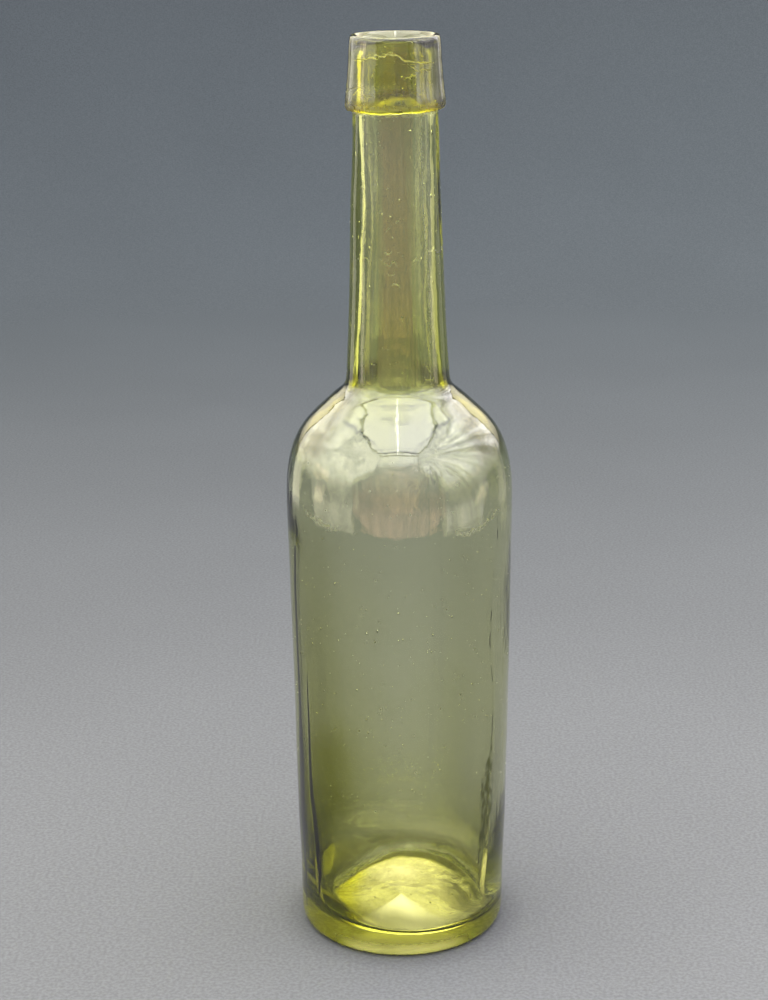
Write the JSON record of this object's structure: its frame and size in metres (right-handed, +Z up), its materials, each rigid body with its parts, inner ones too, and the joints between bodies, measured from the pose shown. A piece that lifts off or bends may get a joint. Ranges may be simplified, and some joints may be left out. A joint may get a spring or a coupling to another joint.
{
  "type": "glass bottle",
  "caption": "Tall round glass bottle with a domed shoulder, a long tapered neck and an applied tapered collar round its open mouth.",
  "frame": {"origin": "on the bottle's axis, in the plane of the flat ring that it stands on", "axes": "+Z up along the bottle's axis, from the base to the mouth; +X to the right and +Y away from the viewer in the reference view. The form is round, so X and Y are otherwise free."},
  "size_m": [0.076, 0.076, 0.3076],
  "materials": {
    "body_glass": "clear yellow-green blown glass, smooth and slightly wavy, with seeds and light scratches",
    "collar_glass": "clear yellow-green glass, tooled, with fine cooling cracks and seeds"
  },
  "bodies": {
    "root": {"blown_body": "body_glass", "applied_collar": "collar_glass"}
  },
  "joints": []
}
